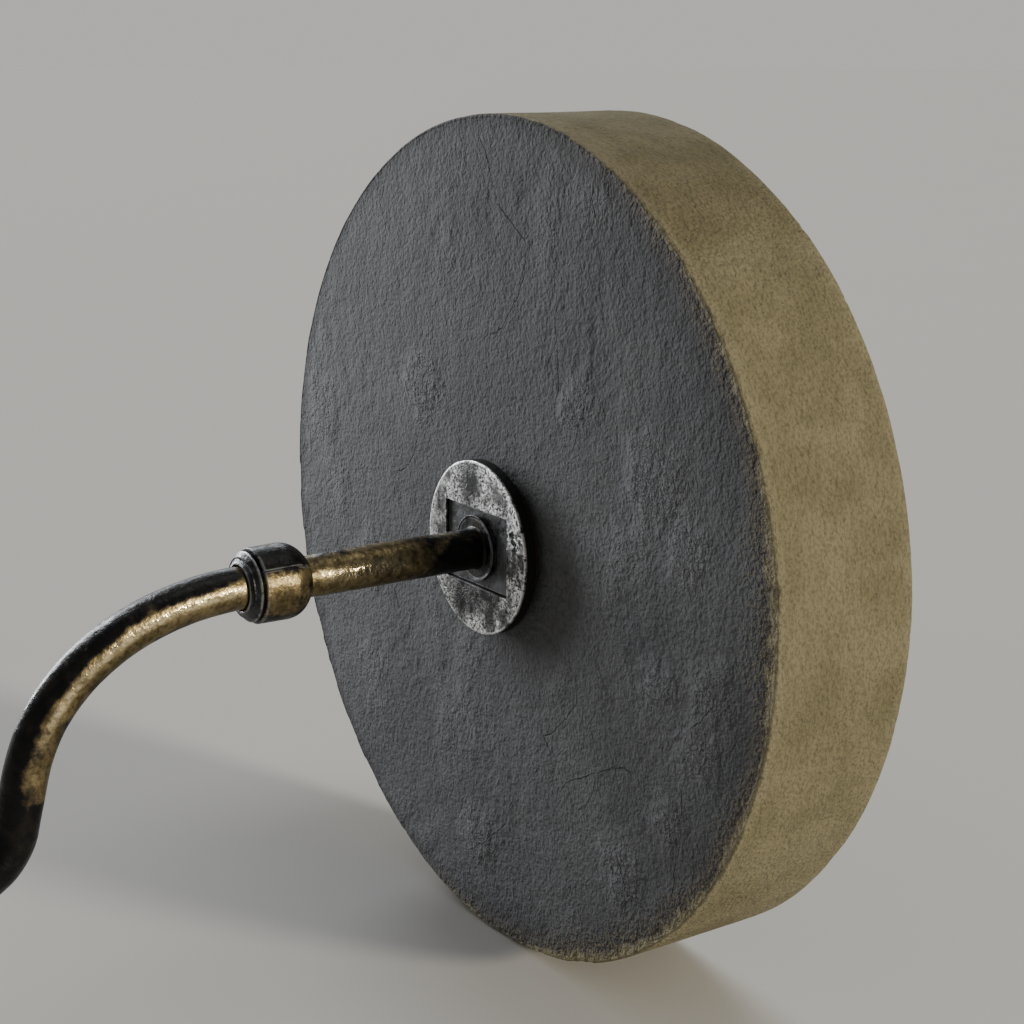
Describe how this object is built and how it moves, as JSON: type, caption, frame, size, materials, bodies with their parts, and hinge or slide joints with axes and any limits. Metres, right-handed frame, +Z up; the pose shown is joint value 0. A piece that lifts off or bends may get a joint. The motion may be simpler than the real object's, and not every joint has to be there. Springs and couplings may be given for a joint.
{
  "type": "hand-cranked grindstone",
  "caption": "Thick sandstone grinding wheel clamped by round flanges on a cranked axle that turns in split barrel bearings, with a wooden crank handle.",
  "frame": {"origin": "centre of the stone, on the axle's centre line", "axes": "+Z up, Y along the axle with the crank at the -Y end, X across; the crank hangs along -Z at rest"},
  "size_m": [0.5, 0.788, 0.5],
  "materials": {
    "stone": "fine-grained natural sandstone, blue-grey worn faces and a tan rim",
    "worn_steel": "bright worn steel, smudged and pitted",
    "dark_steel": "dark oiled steel, worn at the edges",
    "aged_brass": "brassy metal rubbed bright, under a black patina",
    "bronze": "bearing bronze, satin",
    "packing_leather": "oiled leather",
    "felt": "grease-soaked felt",
    "wedge_oak": "rough oak",
    "grip_wood": "turned ash, darkened by hands"
  },
  "bodies": {
    "bearings": {"far_bearing_body": "aged_brass", "far_bearing_cap": "aged_brass", "far_bush_body_half": "bronze", "far_bush_cap_half": "bronze", "far_felt_seal": "felt", "far_retaining_ring": "dark_steel", "near_bearing_body": "aged_brass", "near_bearing_cap": "aged_brass", "near_bush_body_half": "bronze", "near_bush_cap_half": "bronze", "near_felt_seal": "felt", "near_retaining_ring": "dark_steel"},
    "wheel": {"axle_crank": "aged_brass", "cotter_pin": "worn_steel", "far_flange": "worn_steel", "far_hub_plate": "dark_steel", "far_inner_set_screw": "dark_steel", "far_inner_thrust_collar": "dark_steel", "far_lock_nut": "dark_steel", "far_nut": "dark_steel", "far_outer_set_screw": "dark_steel", "far_outer_thrust_collar": "dark_steel", "far_packing_washer": "packing_leather", "far_washer": "dark_steel", "far_wedge_bottom": "wedge_oak", "far_wedge_left": "wedge_oak", "far_wedge_right": "wedge_oak", "far_wedge_top": "wedge_oak", "grindstone": "stone", "near_flange": "worn_steel", "near_hub_plate": "dark_steel", "near_packing_washer": "packing_leather", "near_wedge_bottom": "wedge_oak", "near_wedge_left": "wedge_oak", "near_wedge_right": "wedge_oak", "near_wedge_top": "wedge_oak", "pin_inner_washer": "dark_steel", "pin_nut": "dark_steel", "pin_outer_washer": "dark_steel"},
    "grip": {"grip_inner_ferrule": "bronze", "grip_liner": "bronze", "grip_outer_ferrule": "bronze", "grip_wood": "grip_wood"}
  },
  "joints": [
    {"name": "wheel_spin", "type": "hinge", "parent": "bearings", "child": "wheel", "pos_m": [0, 0, 0], "axis": [0, 1, 0], "continuous": true},
    {"name": "grip_spin", "type": "hinge", "parent": "wheel", "child": "grip", "pos_m": [0, -0.458, -0.13616], "axis": [0, 1, 0], "continuous": true}
  ]
}
